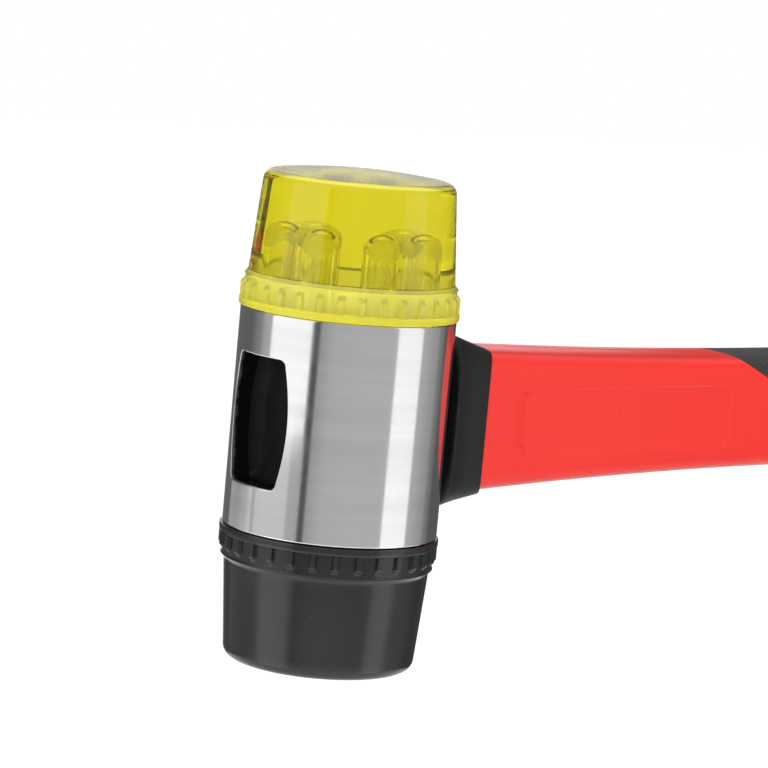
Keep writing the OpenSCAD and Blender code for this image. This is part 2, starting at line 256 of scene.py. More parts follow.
# Moulded plastics, rubbers and ground steel share one recipe. Each has its own numbers over these. Rough is
# a lowest value and what the mask adds, and relief is a strength and a depth in metres.
sharedLook = {"ior": 1.5, "metallic": 0.0, "wearSize": 700.0, "speckSize": 1800.0, "dustRough": 0.3,
              "dustColour": (0.5, 0.49, 0.47)}
looks = {
    "blackRubber": {"colour": (0.0125, 0.0125, 0.0135), "colourTwo": (0.015, 0.015, 0.016),
                    "worn": (0.05, 0.05, 0.052), "rough": (0.20, 0.06), "surface": ("grain", 5200, 60, 0.6),
                    "wear": 0.35, "dust": 0.05, "relief": (0.06, 0.00003)},
    "redPlastic": {"colour": (0.96, 0.021, 0.012), "colourTwo": (0.94, 0.019, 0.0105),
                   "worn": (0.93, 0.12, 0.10), "rough": (0.278, 0.05), "surface": ("grain", 6500, 55, 0.5),
                   "wear": 0.25, "dust": 0.05, "relief": (0.12, 0.00003), "ior": 1.46,
                   "dustColour": (0.85, 0.42, 0.38)},
    "gripRubber": {"colour": (0.021, 0.021, 0.0215), "colourTwo": (0.026, 0.026, 0.0265),
                   "worn": (0.07, 0.07, 0.07), "rough": (0.55, 0.1), "surface": ("grain", 3800, 80, 0.3),
                   "wear": 0.4, "dust": 0.10, "relief": (0.35, 0.00006)},
    "collarRubber": {"colour": (0.006, 0.006, 0.0063), "colourTwo": (0.008, 0.008, 0.0084),
                     "worn": (0.07, 0.07, 0.07), "rough": (0.42, 0.08), "surface": ("grain", 4200, 80, 0.3),
                     "wear": 0.4, "dust": 0.08, "relief": (0.2, 0.00005), "ior": 1.36},
    "blackResin": {"colour": (0.004, 0.004, 0.0042), "colourTwo": (0.0045, 0.0045, 0.0047),
                   "worn": (0.01, 0.01, 0.01), "rough": (0.4, 0.2), "surface": ("grain", 900, 240, 1.6),
                   "wear": 0.2, "dust": 0.03, "relief": (0.2, 0.0001), "ior": 1.25},
    "steel": {"colour": (0.80, 0.80, 0.81), "colourTwo": (0.74, 0.74, 0.75), "worn": (0.88, 0.88, 0.88),
              "rough": (0.085, 0.04), "surface": ("lines", 1.0), "wear": 0.6, "wearSize": 900.0, "dust": 0.06,
              "speckSize": 2200.0, "dustRough": 0.4, "dustColour": (0.5, 0.5, 0.5), "relief": (0.05, 0.00002),
              "ior": 2.5, "metallic": 1.0},
}


def usedSurface(tree, place, look):
    effect, *sizes = look["surface"]
    surface = useEffect(tree, effect, place, *sizes)
    wear = useEffect(tree, "wear", place, look["wearSize"], look["wear"])
    dust = useEffect(tree, "dust", place, look["speckSize"], look["dust"])
    colour = mixColour(tree, surface["Mask"], look["colour"], look["colourTwo"])
    colour = mixColour(tree, wear["Mask"], colour, look["worn"])
    colour = mixColour(tree, dust["Mask"], colour, look["dustColour"])
    low, added = look["rough"]
    rough = addShares(tree, low, (surface["Mask"], added), (dust["Mask"], look["dustRough"]))
    return {"Base Color": colour, "Roughness": rough, "Metallic": look["metallic"]}, surface["Height"]


# Walls of the eye: bare steel at the outer edge, turning black further in, with a ragged boundary.
eyeWallLook = {"steel": (0.36, 0.36, 0.37), "smear": (0.004, 0.004, 0.004), "smearSize": 420.0, "ior": 1.5,
               "bare": (0.0159, 0.0174), "ragged": 0.0016, "rough": (0.14, 0.15), "relief": (0.3, 0.1)}


def eyeWall(tree, place, look):
    smear = noiseNode(tree, place, look["smearSize"], 4.0, 0.65)
    ragged = mathNode(tree, "MULTIPLY", smear, look["ragged"])
    bare = rangeNode(tree, mathNode(tree, "SUBTRACT", axisPlace(tree, place)[0], ragged), *look["bare"])
    low, added = look["rough"]
    return {"Base Color": mixColour(tree, bare, look["smear"], look["steel"]), "Metallic": bare,
            "Roughness": addShares(tree, low, (bare, added))}, ragged


# Clear yellow plastic, with a polished skin, faint handling marks and a scuffed striking surface. Its tint is
# in the skin: the milky parts are materials of their own, and light through them misses a tint in depth.
clearLook = {"skin": (0.64, 0.56, 0.004), "smudge": (0.615, 0.54, 0.0035), "smudgeSize": 140.0, "rough": 0.03,
             "smudgeFrom": (0.52, 0.72), "smudgeRough": 0.05, "ior": 1.47, "strikeHeight": (0.0790, 0.0796),
             "strikeRough": 0.22, "dust": (2600.0, 0.25), "dustRough": 0.2, "waveSize": 260.0,
             "relief": (0.04, 0.0001)}


def clearYellow(tree, place, look):
    smudge = rangeNode(tree, noiseNode(tree, place, look["smudgeSize"], 3.0, 0.6), *look["smudgeFrom"])
    dust = useEffect(tree, "dust", place, *look["dust"])
    struck = rangeNode(tree, axisPlace(tree, place)[1], *look["strikeHeight"])
    rough = addShares(tree, look["rough"], (smudge, look["smudgeRough"]), (struck, look["strikeRough"]),
                      (dust["Mask"], look["dustRough"]))
    return {"Base Color": mixColour(tree, smudge, look["skin"], look["smudge"]), "Roughness": rough,
            "Transmission Weight": 1.0, "Metallic": 0.0}, noiseNode(tree, place, look["waveSize"], 1.0)


# Pulled glass fibre: pale strands along the bar in clear resin.
fibreLook = {"pale": (0.62, 0.58, 0.42), "deep": (0.42, 0.38, 0.24), "strands": (18, 2600, 2600),
             "rough": (0.35, 0.2), "ior": 1.52, "relief": (0.3, 0.0001)}


def glassFibre(tree, place, look):
    strands = noiseNode(tree, scaledPlace(tree, place, look["strands"]), 1.0, 4.0, 0.7)
    low, added = look["rough"]
    return {"Base Color": mixColour(tree, rangeNode(tree, strands, 0.35, 0.65), look["deep"], look["pale"]),
            "Roughness": addShares(tree, low, (strands, added))}, strands


# Parts of the clear face that scatter light: flange, ribbed band, striking edge, and pockets, with a pale
# oval on each dome that is a painted highlight. Each has two colours, how clear it is, and how rough.
milkyLook = {"ior": 1.47, "stainSize": 300.0, "stainRough": 0.08, "relief": (0.15, 0.0001)}
milkyLooks = {
    "yellowFlange": ((0.93, 0.86, 0.06), (0.88, 0.81, 0.05), 0.3, 0.12),
    "yellowRibs": ((1.0, 0.95, 0.15), (0.97, 0.91, 0.12), 0.58, 0.12),
    "yellowPocket": ((1.0, 1.0, 0.9), (0.98, 0.98, 0.8), 0.9, 0.14),
    # Painted highlight: a pale white oval on each pocket's dome.
    "paintedHighlightDome": ((1.0, 1.0, 1.0), (0.98, 0.98, 0.94), 0.25, 0.3),
    "yellowEdge": ((0.97, 0.90, 0.16), (0.94, 0.87, 0.13), 0.5, 0.15),
}


def milkyYellow(tree, place, look):
    colour, colourTwo, clear, rough = look["own"]
    stain = noiseNode(tree, place, look["stainSize"], 3.0, 0.6)
    return {"Base Color": mixColour(tree, stain, colour, colourTwo), "Transmission Weight": clear,
            "Roughness": addShares(tree, rough, (stain, look["stainRough"])), "Metallic": 0.0}, stain


for name, look in looks.items():
    addFinish(name, usedSurface, {**sharedLook, **look})
for name, look in milkyLooks.items():
    addFinish(name, milkyYellow, {**milkyLook, "own": look})
addFinish("eyeWall", eyeWall, eyeWallLook)
addFinish("clearYellow", clearYellow, clearLook)
addFinish("glassFibre", glassFibre, fibreLook)
print("materials built:", len(finishes))


# Mesh helpers. Points are in mm and meshes in metres, except where a unit says otherwise.
weldReach = {"piece": 1e-7, "cutter": 3e-7}      # m, points nearer than this become one


def newMesh(name, points, faces, unit=mm):
    mesh = bpy.data.meshes.new(name)
    mesh.from_pydata([(x * unit, y * unit, z * unit) for x, y, z in points], [], faces)
    return mesh


def weld(mesh, reach):
    build = bmesh.new()
    build.from_mesh(mesh)
    bmesh.ops.remove_doubles(build, verts=build.verts, dist=reach)
    bmesh.ops.recalc_face_normals(build, faces=build.faces)
    if build.calc_volume(signed=True) < 0:
        bmesh.ops.reverse_faces(build, faces=build.faces)
    build.to_mesh(mesh)
    build.free()
    for polygon in mesh.polygons:
        polygon.use_smooth = True


# Where there are several materials, faceMaterial names a face's own by its middle and its normal.
def makePiece(name, points, faces, body, materials, replaced, sharpAngle, faceMaterial=None):
    mesh = newMesh(name, points, faces)
    for finish in materials:
        mesh.materials.append(finishes[finish])
    weld(mesh, weldReach["piece"])
    if len(materials) > 1:
        for polygon in mesh.polygons:
            polygon.material_index = materials.index(faceMaterial(polygon.center / mm, polygon.normal))
    mesh.set_sharp_from_angle(angle=radians(sharpAngle))
    piece = addObject(name, mesh)
    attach(piece, body)
    if replaced:
        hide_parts(*replaced)
    return piece


# Joins each ring of points to the next with faces.
def bridge(faces, starts, count):
    for first, second in zip(starts, starts[1:]):
        for i in range(count):
            j = (i + 1) % count
            faces.append((first + i, first + j, second + j, second + i))


# Closes a ring with triangles that meet in a tip, or in the ring's middle.
def fan(points, faces, start, count, tip=None):
    ring = points[start:start + count]
    points.append(tip or tuple(sum(point[k] for point in ring) / count for k in range(3)))
    faces.extend((start + i, start + (i + 1) % count, len(points) - 1) for i in range(count))


# Head tube: a ground steel tube whose eye goes through both walls.
tubeSize = {"radius": 17.5, "wall": 3.8, "bottom": 22.0, "length": 35.5, "bevel": 0.3, "bevelSoft": 0.09,
            "eyeEdge": 0.22, "eyeHeight": 20.8, "eyeWidth": 13.8, "eyeEndWidth": 11.6, "eyeCorner": 1.16,
            "eyeRise": 0.35, "sideSteps": 18, "cornerSteps": 8, "endSteps": 10, "edgeSteps": 4,
            "wallSteps": 22, "crowding": 1.3, "pointsToSide": 8, "eyeMargin": (0.03, 0.06),
            "endMargin": 2, "sharp": 40, "nearWall": 0.001, "level": 0.2, "seatGap": 0.1}


# The eye's outline, widest at half height, as pairs of y and z round the middle.
def eyeOutline(size):
    half, corner, endHalf = size["eyeHeight"] / 2, size["eyeCorner"], size["eyeEndWidth"] / 2
    straight, flat, bulge = half - corner, endHalf - corner, size["eyeWidth"] / 2 - endHalf
    sides = spread(0, straight, size["sideSteps"])
    quarter = [(endHalf + bulge * (1 - (z / straight) ** 2), z) for z in sides]
    for a in spread(0, pi / 2, size["cornerSteps"])[1:]:
        quarter.append((flat + corner * cos(a), straight + corner * sin(a)))
    quarter += [(y, half) for y in spread(flat, 0, size["endSteps"])[1:]]
    upper = quarter + [(-y, z) for y, z in reversed(quarter[:-1])]
    return upper + [(y, -z) for y, z in reversed(upper[1:-1])]


# An outline moved outwards by a reach and up by a rise.
def grown(outline, reach, rise=0):
    moved = []
    for i, (y, z) in enumerate(outline):
        (y0, z0), (y1, z1) = outline[i - 1], outline[(i + 1) % len(outline)]
        share = reach / hypot(y1 - y0, z1 - z0)
        moved.append((y + (z1 - z0) * share, z + (y0 - y1) * share + rise))
    return moved


def signed(length, like):
    return copysign(length, like) if abs(like) > tiny else 0.0


# Where the outline's points end up: the edge of a half tube laid out flat, as angle and height.
def tubeTargets(size, outline, top):
    quarter, toSide = len(outline) // 4, size["pointsToSide"]
    targets = []
    for i, (y, z) in enumerate(outline):
        k = i % (2 * quarter)
        k = min(k, 2 * quarter - k)
        a = pi / 2 * min(1, (quarter - k) / (quarter - toSide))
        h = top * min(1, k / toSide)
        targets.append((signed(a, y), signed(h, z)))
    return targets


def makeHeadTube(size):
    outer, inner, half = size["radius"], size["radius"] - size["wall"], size["length"] / 2
    edge, bevel, soft, rise = size["eyeEdge"], size["bevel"], size["bevelSoft"], size["eyeRise"]
    outline = eyeOutline(size)
    count, top = len(outline), half - bevel
    targets = tubeTargets(size, outline, top)
    points, faces = [], []

    # A ring on the tube's wall, part of the way from the eye's edge to the half tube's.
    def wallRing(radius, share):
        ring = []
        for (y, z), (toA, toH) in zip(grown(outline, edge, rise), targets):
            a = mix(asin(y / radius), toA, share)
            ring.append((radius * cos(a), radius * sin(a), mix(z, toH, share)))
        return ring

    # A ring in the eye's wall, at a depth under the tube's surface.
    def eyeRing(radius, depth, reach):
        return [(sqrt(radius * radius - y * y) - depth, y, z) for y, z in grown(outline, reach, rise)]

    def addRing(side, ring):
        points.extend((side * x, side * y, midZ + z) for x, y, z in ring)
        return len(points) - len(ring)

    shares = [s ** size["crowding"] for s in spread(0, 1, size["wallSteps"])]
    turns = spread(0, pi / 2, size["edgeSteps"])
    bends = [(edge * (1 - cos(a)), edge * (1 - sin(a))) for a in turns]
    rings = [wallRing(outer, s) for s in reversed(shares)]
    rings += [eyeRing(outer, depth, reach) for depth, reach in bends[1:]]
    rings += [eyeRing(outer, depth, 0) for depth in spread(edge, size["wall"] - edge, 4)[1:-1]]
    rings += [eyeRing(inner, -depth, reach) for reach, depth in bends]
    rings += [wallRing(inner, s) for s in shares[1:]]
    rim = ((outer - soft, half - soft), (outer - bevel, half), (inner + bevel, half),
           (inner + soft, half - soft))
    border = rings[0]
    for side in (1, -1):
        starts = [addRing(side, ring) for ring in rings]
        bridge(faces, starts, count)
        # The tube's ends: from the outer wall's edge over the bevels to the inner wall's edge.
        for sign in (1, -1):
            run = [i for i in range(count) if abs(border[i][2] * sign - top) < tiny]
            run.sort(key=lambda i: border[i][1])
            angles = [atan2(border[i][1], border[i][0]) for i in run]
            rows = [[starts[0] + i for i in run]]
            for radius, height in rim:
                ring = [(radius * cos(a), radius * sin(a), sign * height) for a in angles]
                start = addRing(side, ring)
                rows.append([start + i for i in range(len(run))])
            rows.append([starts[-1] + i for i in run])
            for first, second in zip(rows, rows[1:]):
                faces.extend((first[i], first[i + 1], second[i + 1], second[i]) for i in range(len(run) - 1))

    def wallOrEye(centre, normal):
        fromInner, fromOuter = size["eyeMargin"]
        inEye = inner + fromInner < hypot(centre.x, centre.y) < outer - fromOuter
        return "eyeWall" if inEye and abs(centre.z - midZ) < half - size["endMargin"] else "steel"

    piece = makePiece("headTube", points, faces, "hammer", ["steel", "eyeWall"], ["head_tube"],
                      size["sharp"], wallOrEye)
    # The walls take the cylinder's own normals, so that reflections run straight down the tube.
    mesh = piece.data
    exact = [corner.vector.copy() for corner in mesh.corner_normals]
    for polygon in mesh.polygons:
        if polygon.material_index or abs(polygon.normal.z) >= size["level"]:
            continue
        for loop in polygon.loop_indices:
            v = mesh.vertices[mesh.loops[loop].vertex_index].co / mm
            for radius, sign in ((outer, 1), (inner, -1)):
                if abs(hypot(v.x, v.y) - radius) < size["nearWall"]:
                    exact[loop] = sign * Vector((v.x, v.y, 0)).normalized()
    mesh.normals_split_custom_set(exact)


makeHeadTube(tubeSize)
print("head tube made")


# Faces: flange, ribbed band, cove, cone, striking surface, threaded spigot and cored pockets.
faceSize = {"height": 21.9, "tubeRadius": 17.5, "flangeProud": 0.35, "flangeThick": 1.25, "bandHeight": 3.75,
            "bandGap": 0.15, "bandSteps": 16, "ribLength": 2.9, "ribWidth": 1.05, "ribDepth": 0.6,
            "ribSlope": 0.18, "ribTip": 0.75, "ribMarks": (-0.12, -0.03, 0.04, 0.12), "ribEnd": 0.2,
            "betweenSteps": 5, "coveHeight": 0.9, "coveStep": 0.45, "coveSteps": 6, "coneSteps": 14,
            "strikeRadius": 15.6, "strikeRound": 1.8, "strikeSteps": 10, "bandFoot": 0.02,
            "topShares": (0.9, 0.75, 0.6, 0.45, 0.3, 0.15), "spigotLength": 6.4, "spigotRadius": 13.62,
            "spigotSteps": 36, "threadPitch": 2.0, "threadDepth": 1.1, "toothSlope": 2.4, "toothGap": 0.1,
            "pocketCount": 6, "pocketRadius": 2.45, "pocketRing": 7.9, "pocketReach": 13.4, "pocketFine": 8.0,
            "pocketSteps": (6, 14, 16), "pocketAround": 72, "sharp": 38}
faceKinds = {
    "clearFace": {"ribs": 32, "ribTurn": 1.8, "pocketTurn": 18, "rise": 0.95, "up": 1,
                  "seat": tubeSize["bottom"] + tubeSize["length"] + tubeSize["seatGap"], "node": "clear_face",
                  "slot": "clear_yellow", "body": "clear_end", "finishes": ["clearYellow", *milkyLooks]},
    "rubberFace": {"ribs": 30, "ribTurn": -8.2, "pocketTurn": -18, "rise": 0, "up": -1,
                   "seat": faceSize["height"], "node": "rubber_face", "slot": "black_rubber",
                   "body": "rubber_end", "finishes": ["blackRubber"]},
}


# A face's outline from its seat to its striking surface, as pairs of radius and height, and the radii of its
# ribs and of the band between them.
def faceProfile(p):
    thick, cove, bend, height = p["flangeThick"], p["coveHeight"], p["strikeRound"], p["height"]
    flange, bevel, soft = p["tubeRadius"] + p["flangeProud"], thick / 6, thick / 20
    rib = flange - p["flangeProud"] / 4
    band, bandEnd = rib - p["ribDepth"], thick + p["bandHeight"]
    lip, cone = band + p["ribDepth"] / 4, band - p["coveStep"]
    rows = [(flange - bevel, 0), (flange - soft, soft), (flange, bevel), (flange, thick / 2),
            (flange, thick - bevel), (flange - soft, thick - soft), (flange - bevel, thick),
            (band, thick + p["bandFoot"])]
    rows += [(band, h) for h in spread(thick + p["bandGap"], bandEnd - cove / 4, p["bandSteps"])]
    rows += [((band + lip) / 2, bandEnd - cove / 8), (lip, bandEnd)]
    for s in spread(0, 1, p["coveSteps"])[1:]:
        rows.append((mix(lip, cone, sin(s * pi / 2)), bandEnd + cove * s))
    lean = atan2(cone - p["strikeRadius"], height - bend - bandEnd - cove)
    flat = p["strikeRadius"] - bend * cos(lean)
    arc = [(flat + bend * cos(a), height - bend + bend * sin(a))
           for a in spread(lean, pi / 2, p["strikeSteps"])]
    edgeRadius, edgeHeight = arc[0]
    for s in spread(0, 1, p["coneSteps"])[1:-1]:
        rows.append((mix(cone, edgeRadius, s), mix(bandEnd + cove, edgeHeight, s)))
    rows += arc + [(flat * s, height + p["rise"] * (1 - s * s)) for s in p["topShares"]]
    return rows, rib, band


# How far a rib stands up at a distance in mm from its middle and a height over the seat.
def ribShare(p, offset, height):
    side = 1 - ease((abs(offset) - p["ribWidth"] / 2) / p["ribSlope"] + 0.5)
    return side * (1 - ease((height - p["flangeThick"] - p["ribLength"]) / p["ribTip"] + 1))


# How far the thread stands out, at a number of turns up the spigot.
def threadShare(p, angle, turns):
    t = (turns - angle / (2 * pi)) % 1
    fade = clamp(turns * 2) * clamp((p["spigotLength"] / p["threadPitch"] - turns) * 2)
    return clamp(p["toothSlope"] * min(t, 1 - t) - p["toothGap"]) * fade


# Pockets, open at the spigot's end. Gives the first point of each mouth.
def addPockets(p, points, faces):
    radius, around, fine, mouths = p["pocketRadius"], p["pocketAround"], p["pocketFine"], []
    top, (low, high, dome) = p["pocketReach"] - radius, p["pocketSteps"]
    rings = [(radius, h) for h in spread(-p["spigotLength"], fine, low) + spread(fine, top, high)[1:]]
    rings += [(radius * cos(a), top + radius * sin(a)) for a in spread(0, pi / 2, dome)[1:-1]]
    for k in range(p["pocketCount"]):
        middle = radians(p["pocketTurn"] + k * 360 / p["pocketCount"])
        cx, cy = p["pocketRing"] * cos(middle), p["pocketRing"] * sin(middle)
        starts = [len(points) + around * i for i in range(len(rings))]
        for r, h in rings:
            points.extend((cx + r * c, cy + r * s, h) for c, s in circle(around))
        bridge(faces, starts, around)
        fan(points, faces, starts[-1], around, (cx, cy, p["pocketReach"]))
        mouths.append(starts[0])
    return mouths


# The spigot's flat end, round the pockets' mouths. A loop is its first point and how many it has.
def addCap(points, faces, loops):
    cap = bmesh.new()
    index, edges = {}, []
    for start, n in loops:
        loop = [cap.verts.new(points[start + i]) for i in range(n)]
        index.update({v: start + i for i, v in enumerate(loop)})
        edges += [cap.edges.new((loop[i], loop[(i + 1) % n])) for i in range(n)]
    filled = bmesh.ops.triangle_fill(cap, use_beauty=True, use_dissolve=False, edges=edges, normal=(0, 0, -1))
    faces += [tuple(index[v] for v in f.verts) for f in filled["geom"] if isinstance(f, bmesh.types.BMFace)]
    cap.free()


# Where the clear face's milky parts end, in mm past the edges that bound them, and the size and height of the
# painted highlight oval on each pocket's dome. The shares are of the striking
# edge's rounding and of the cove, and the slope is a normal's upward part.
zoneSize = {"seat": 0.01, "pocket": 0.2, "spigotEnd": 0.02, "underTop": 2, "ovalWide": 2.4, "ovalTall": 1.9,
            "ovalMiddle": 10.9, "flange": 0.05, "edgeShare": 0.62, "edgeSlope": (0.62, 0.88),
            "coveShare": 0.6}


def clearZone(p, centre, normal):
    g, height, axis = zoneSize, centre.z - p["seat"], hypot(centre.x, centre.y)
    half, start = pi / p["pocketCount"], radians(p["pocketTurn"])
    nearPocket = axis < p["pocketRing"] + p["pocketRadius"] + g["pocket"]
    if nearPocket and g["spigotEnd"] - p["spigotLength"] < height < p["height"] - g["underTop"]:
        turn = (atan2(centre.y, centre.x) - start + half) % (2 * half) - half
        # Inside an oval on the pocket's dome the wall gets a pale painted highlight; elsewhere it is the
        # pocket's milky wall.
        across, up = axis * sin(turn) / g["ovalWide"], (height - g["ovalMiddle"]) / g["ovalTall"]
        return "paintedHighlightDome" if hypot(across, up) < 1 else "yellowPocket"
    if g["seat"] < height < p["flangeThick"] + g["flange"]:
        return "yellowFlange"
    low, high = g["edgeSlope"]
    if height > p["height"] - p["strikeRound"] * g["edgeShare"] and low < normal.z < high:
        return "yellowEdge"
    bandTop = p["flangeThick"] + p["bandHeight"] + p["coveHeight"] * g["coveShare"]
    return "yellowRibs" if g["seat"] < height < bandTop else "clearYellow"


def makeFace(name, p):
    rows, rib, band = faceProfile(p)
    pitch, length, thick = 2 * pi * band / p["ribs"], p["spigotLength"], p["flangeThick"]
    near = [p["ribWidth"] / 2 + mark for mark in p["ribMarks"]]
    offsets = [-o for o in reversed(near)] + [0] + near
    offsets += spread(near[-1], pitch - near[-1], p["betweenSteps"])[1:-1]
    start = radians(p["ribTurn"])
    columns = [(start + (i * pitch + o) / band, o) for i in range(p["ribs"]) for o in offsets]
    points, faces, starts, count = [], [], [], len(columns)

    def addRow(radiusAt, height):
        starts.append(len(points))
        for a, offset in columns:
            r = radiusAt(a, offset)
            points.append((r * cos(a), r * sin(a), height))

    root, depth = p["spigotRadius"] - p["threadDepth"], p["threadDepth"]
    for h in spread(-length, 0, p["spigotSteps"]):
        addRow(lambda a, o: root + depth * threadShare(p, a, (h + length) / p["threadPitch"]), h)
    for r, h in rows:
        inBand = abs(r - band) < p["ribDepth"] / 3 and thick < h < thick + p["bandHeight"] - p["ribEnd"]
        addRow(lambda a, o: mix(r, rib, ribShare(p, o, h)) if inBand else r, h)
    bridge(faces, starts, count)
    fan(points, faces, starts[-1], count, (0, 0, p["height"] + p["rise"]))
    mouths = addPockets(p, points, faces)
    addCap(points, faces, [(starts[0], count)] + [(mouth, p["pocketAround"]) for mouth in mouths])
    placed = [(x, p["up"] * y, p["seat"] + p["up"] * z) for x, y, z in points]
    makePiece(name, placed, faces, p["body"], p["finishes"], [p["node"]], p["sharp"],
              lambda centre, normal: clearZone(p, centre, normal))


for name, kind in faceKinds.items():
    makeFace(name, {**faceSize, **kind})
print("faces made")


# Handle: one shape, worked out section by section, that the jacket, the collar and the grip share. Its top,
# low and thick values are at the neck, the waist, the swell, the palm and the butt.
handleSize = {"length": 282.43, "collarTip": 27.6, "waistX": 100.0, "swellX": 165.7, "palmX": 216.8,
              "hangX": 268.0, "top": (12.05, 10.45, 13.2, 12.6, 14.2), "low": (11.8, 9.75, 14.4, 13.0, 17.0),
              "thick": (7.6, 7.6, 10.6, 9.8, 11.2), "crown": 0.6, "squareNeck": 7.0, "squareGrip": 2.5,
              "buttRound": 11.2, "skin": 1.9, "hangRadius": 3.5, "gripStart": 81.3, "gripSweep": 58.0,
              "gripCurve": 1.25, "levelX": 150, "seamHeight": 0.07, "seamWidth": 0.2, "sharp": 34,
              "probe": 0.5, "rounds": 24}
sideReach = 6.2              # mm up the flat side that has rows of its own
edgeReach = 0.7              # share of the width, over the top and under, that has rows of its own


# A measure of the handle at x.
def along(x, values):
    p = handleSize
    neck, value, *later = values
    if x < p["waistX"]:
        return mix(value, neck, ((p["waistX"] - x) / (p["waistX"] - p["collarTip"])) ** 2)
    marks = [p["waistX"], p["swellX"], p["palmX"], p["hangX"]]
    for a, b, reached in zip(marks, marks[1:], later):
        value = mix(value, reached, ease(partWay(x, a, b)))
    return value


def buttShare(x, end):
    return sqrt(1 - partWay(x, end - handleSize["buttRound"], end) ** 2)


def mirrored(steps):
    return [-s for s in reversed(steps)] + [0] + steps


edgeRows = mirrored([0.025, 0.045, 0.07, 0.12, 0.2, 0.3, 0.4, 0.5, 0.6, 0.7])


# Where each lengthwise row of the skin runs: up a side, round a corner or over the top or bottom.
def handleColumns(sideRows, cornerSteps):
    columns = [("side", 1, z) for z in sideRows]
    corner = spread(0, 1, cornerSteps)[1:-1]
    columns += [("corner", 1, 1, t) for t in corner] + [("edge", 1, y) for y in reversed(edgeRows)]
    columns += [("corner", -1, 1, 1 - t) for t in corner] + [("side", -1, z) for z in reversed(sideRows)]
    columns += [("corner", -1, -1, t) for t in corner] + [("edge", -1, y) for y in edgeRows]
    return columns + [("corner", 1, -1, 1 - t) for t in corner]


# A column's place across the handle, with the section drawn in by an inset and scaled by a share.
def sectionPoint(x, column, inset=0, share=1.0, sizes=None):
    p = handleSize
    n = mix(p["squareNeck"], p["squareGrip"], ease(partWay(x, p["waistX"], p["swellX"])))
    wide, high, deep = sizes or [along(x, p[key]) - inset for key in ("thick", "top", "low")]
    kind, sign, third = column[:3]
    if kind == "side":
        h = high if third > 0 else deep
        return sign * (1 - abs(third / h) ** n) ** (1 / n) * wide * share, third * share
    if kind == "edge":
        h = high if sign > 0 else deep
        zs = (1 - abs(third) ** n) ** (1 / n)
        return third * wide * share, sign * zs * (h - p["crown"] * third * third) * share
    h, t = high if third > 0 else deep, column[3]
    a = mix(asin((sideReach / h) ** (n / 2)), acos(edgeReach ** (n / 2)), t)
    ys, zs = cos(a) ** (2 / n), sin(a) ** (2 / n)
    return sign * ys * wide * share, third * zs * (h - p["crown"] * ys * ys * t) * share


# Where the grip's swept edge crosses a column, found in rounds that settle.
def edgeX(column):
    p = handleSize
    x = p["gripStart"]
    for step in range(p["rounds"]):
        down = clamp((p["top"][0] - sectionPoint(x, column)[1]) / (p["top"][0] + p["low"][0]))
        x = p["gripStart"] + p["gripSweep"] * down ** p["gripCurve"]
    return x


def seamRise(y):
    return handleSize["seamHeight"] * exp(-(y / handleSize["seamWidth"]) ** 2)


# Rings of points round the handle. A station has a place along the handle for each column (or one for all), a
# depth under the surface, and the end that the butt is rounded to. Rings at skin depth have no relief.
def skinRings(columns, stations, relief):
    p, points = handleSize, []
    for places, inset, end in stations:
        for c, column in enumerate(columns):
            x = places[c] if isinstance(places, list) else places
            deep = inset + relief(x, column) if inset < p["skin"] else inset
            y, z = sectionPoint(x, column, 0, buttShare(x, end))
            y1, z1 = sectionPoint(x, column, p["probe"], buttShare(x, end))
            length = hypot(y - y1, z - z1) or 1.0
            points.append((x, y - (y - y1) / length * deep, midZ + z - (z - z1) / length * deep))
    return points


def buttPlaces(end, turns):
    return [end - handleSize["buttRound"] * (1 - sin(radians(a))) for a in turns]


# The jacket's sunken panel, with a low round mark where the plastic entered the mould. The mark's rows are
# shares of its radius and heights over the panel.
panelSize = {"length": 47.7, "height": 10.2, "depth": 0.2, "x": 57.3, "z": 0.425, "corner": 1.3, "slope": 0.3,
             "rim": 0.6, "past": 0.15, "fineStep": 0.13, "fineReach": 0.95, "gateX": 55.7, "gateZ": 1.2,
             "gateRadius": 0.45, "gateAround": 28,
             "gateRows": ((1, -0.1), (1, 0.112), (0.85, 0.16), (0.45, 0.144))}


def panelShare(x, z):
    p = panelSize
    dx = abs(x - p["x"]) - (p["length"] / 2 - p["corner"])
    dz = abs(z - p["z"]) - (p["height"] / 2 - p["corner"])
    d = hypot(max(dx, 0), max(dz, 0)) + min(max(dx, dz), 0) - p["corner"]
    return 1 - ease(d / p["slope"] + 0.5)


# Steps from a to b, finer near the panel's two rims.
def panelSteps(a, b, coarse, middle, length):
    p, steps, x = panelSize, [a], a
    while x < b - tiny:
        nearRim = abs(abs(x - middle) - (length / 2 - p["rim"])) < p["fineReach"]
        x = min(b, x + (p["fineStep"] if nearRim else coarse))
        steps.append(x)
    return steps


# The jacket starts at skin depth under the collar and steps up to its surface. Its lip at the grip is pairs
# of how far past the swept edge and how deep.
jacketSize = {"start": (18.25, 23.2), "surface": 23.5, "panelStart": 24, "sideStep": 0.9, "step": 1.6,
              "steps": 26, "cornerSteps": 9, "lip": ((-0.12, 0), (-0.03, 0.05), (0.02, 0.16), (0.05, 1.9)),
              "under": 0.6, "underSteps": 10, "farSteps": 22, "turns": (15, 30, 45, 60, 70, 80, 86, 89)}


